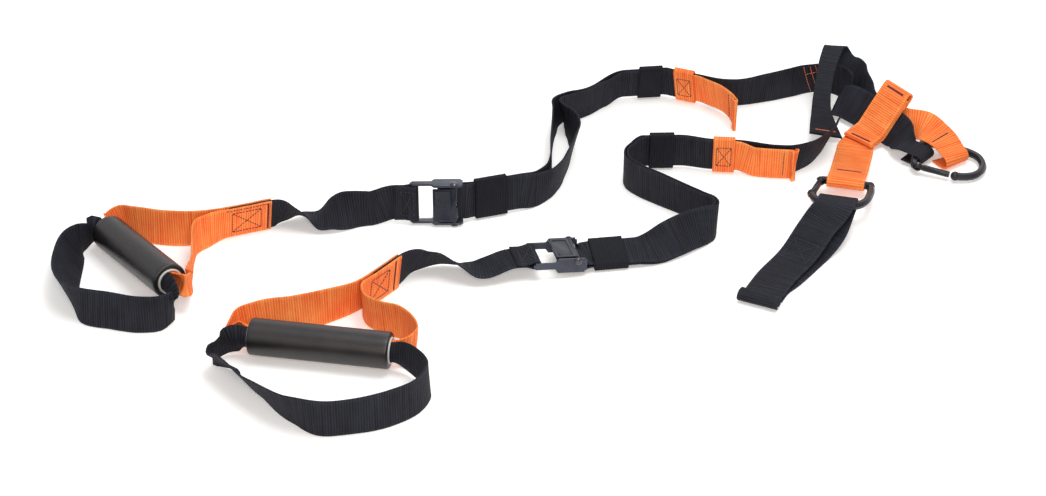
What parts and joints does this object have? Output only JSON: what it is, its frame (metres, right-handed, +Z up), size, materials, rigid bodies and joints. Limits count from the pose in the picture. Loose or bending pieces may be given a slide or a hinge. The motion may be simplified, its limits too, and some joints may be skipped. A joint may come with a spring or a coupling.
{
  "type": "suspension trainer",
  "caption": "Two webbing handles with foam grips and foot cradles on adjustable cam-buckle straps, joined at a sling knot to an anchor strap with carabiners and a padded door strap.",
  "frame": {"origin": "under the middle of the laid-out trainer's bounding box, on the surface it lies on", "axes": "+X from the handles to the anchor end, +Y to the upper strap's far side, +Z up"},
  "size_m": [0.9198, 0.6488, 0.0546],
  "materials": {
    "black_webbing": "woven polyester webbing with fine cross ribs",
    "buckle_grey": "blue-grey coated cast metal, satin",
    "carabiner_black": "black coated steel, semi-gloss",
    "foam_grey": "closed-cell foam, matt",
    "orange_webbing": "woven polyester webbing with fine cross ribs",
    "steel_grey": "bare steel, polished",
    "tube_white": "plain moulded plastic"
  },
  "bodies": {
    "straps": {"buckle_frame_a": "buckle_grey", "buckle_pin_a": "steel_grey", "buckle_spring_a": "steel_grey", "main_strap_a": "black_webbing", "pull_tab_a": "orange_webbing", "slider_a": "orange_webbing", "buckle_frame_b": "buckle_grey", "buckle_pin_b": "steel_grey", "buckle_spring_b": "steel_grey", "main_strap_b": "black_webbing", "pull_tab_b": "orange_webbing", "slider_b": "orange_webbing", "anchor_sling": "black_webbing", "sling_bight": "black_webbing", "anchor_strap": "orange_webbing", "anchor_loop": "orange_webbing", "carabiner_body_1": "carabiner_black", "gate_pin_1": "steel_grey"},
    "handle_a": {"lower_strap_a": "black_webbing", "handle_loop_a": "orange_webbing", "foot_cradle_a": "black_webbing"},
    "handle_b": {"lower_strap_b": "black_webbing", "handle_loop_b": "orange_webbing", "foot_cradle_b": "black_webbing"},
    "grip_a": {"grip_foam_a": "foam_grey", "grip_tube_a": "tube_white"},
    "grip_b": {"grip_foam_b": "foam_grey", "grip_tube_b": "tube_white"},
    "cam_a": {"buckle_cam_a": "buckle_grey"},
    "cam_b": {"buckle_cam_b": "buckle_grey"},
    "keeper_a_lower": {"keeper_a_lower": "black_webbing"},
    "keeper_a_upper": {"keeper_a_upper": "black_webbing"},
    "keeper_b_lower": {"keeper_b_lower": "black_webbing"},
    "keeper_b_upper": {"keeper_b_upper": "black_webbing"},
    "gate_1": {"gate_1": "carabiner_black"},
    "gate_2": {"gate_2": "carabiner_black"},
    "carabiner_2": {"carabiner_body_2": "carabiner_black", "gate_pin_2": "steel_grey", "captive_wire": "steel_grey"},
    "door_strap": {"door_strap": "black_webbing", "door_roll": "black_webbing"}
  },
  "joints": [
    {"name": "handle_a_swing", "type": "hinge", "parent": "straps", "child": "handle_a", "pos_m": [-0.12105, 0.03106, 0.0244], "axis": [-0.0006, 0.03, 0.9996], "range_deg": [-45, 12]},
    {"name": "grip_a_spin", "type": "hinge", "parent": "handle_a", "child": "grip_a", "pos_m": [-0.37875, -0.068, 0.0245], "axis": [0.5687, -0.818, 0.0857], "continuous": true},
    {"name": "cam_a_lever", "type": "hinge", "parent": "straps", "child": "cam_a", "pos_m": [-0.08167, 0.02755, 0.02453], "axis": [-0.0006, 0.03, 0.9996], "range_deg": [0, 60], "stiffness_Nm_per_rad": 0.02, "springref_deg": -17.19},
    {"name": "handle_b_swing", "type": "hinge", "parent": "straps", "child": "handle_b", "pos_m": [-0.00449, -0.05307, 0.01454], "axis": [-0.2149, 0.9747, -0.0607], "range_deg": [0, 110]},
    {"name": "grip_b_spin", "type": "hinge", "parent": "handle_b", "child": "grip_b", "pos_m": [-0.19675, -0.2085, 0.02], "axis": [0.9836, -0.1802, 0], "continuous": true},
    {"name": "cam_b_lever", "type": "hinge", "parent": "straps", "child": "cam_b", "pos_m": [0.03408, -0.0445, 0.01568], "axis": [-0.2149, 0.9747, -0.0607], "range_deg": [0, 60], "stiffness_Nm_per_rad": 0.02, "springref_deg": -17.19},
    {"name": "keeper_a_lower_slide", "type": "slide", "parent": "straps", "child": "keeper_a_lower", "axis": [0.9407, 0.3391, -0.0109], "range_m": [0, 0.01]},
    {"name": "keeper_a_upper_slide", "type": "slide", "parent": "straps", "child": "keeper_a_upper", "axis": [0.9926, 0.1211, 0], "range_m": [-0.013, 0.001]},
    {"name": "keeper_b_lower_slide", "type": "slide", "parent": "straps", "child": "keeper_b_lower", "axis": [0.9881, 0.1537, 0], "range_m": [0, 0.01]},
    {"name": "keeper_b_upper_slide", "type": "slide", "parent": "straps", "child": "keeper_b_upper", "axis": [0.9996, 0.0294, 0], "range_m": [-0.004, 0.005]},
    {"name": "gate_1_swing", "type": "hinge", "parent": "straps", "child": "gate_1", "pos_m": [0.38759, 0.12687, 0.00968], "axis": [0.0664, -0.0222, 0.9975], "range_deg": [0, 22], "stiffness_Nm_per_rad": 0.03, "springref_deg": -11.46},
    {"name": "gate_2_swing", "type": "hinge", "parent": "carabiner_2", "child": "gate_2", "pos_m": [0.28446, 0.08869, 0.01478], "axis": [0.0451, 0.1681, 0.9847], "range_deg": [0, 25], "stiffness_Nm_per_rad": 0.03, "springref_deg": -11.46},
    {"name": "carabiner_2_swing", "type": "hinge", "parent": "straps", "child": "carabiner_2", "pos_m": [0.30975, 0.0865, 0.014], "axis": [-0.9659, 0.259, 0], "range_deg": [-15, 15]},
    {"name": "door_strap_swing", "type": "hinge", "parent": "carabiner_2", "child": "door_strap", "pos_m": [0.29356, 0.0261, 0.02505], "axis": [-0.9659, 0.259, 0], "range_deg": [-5, 5]}
  ]
}
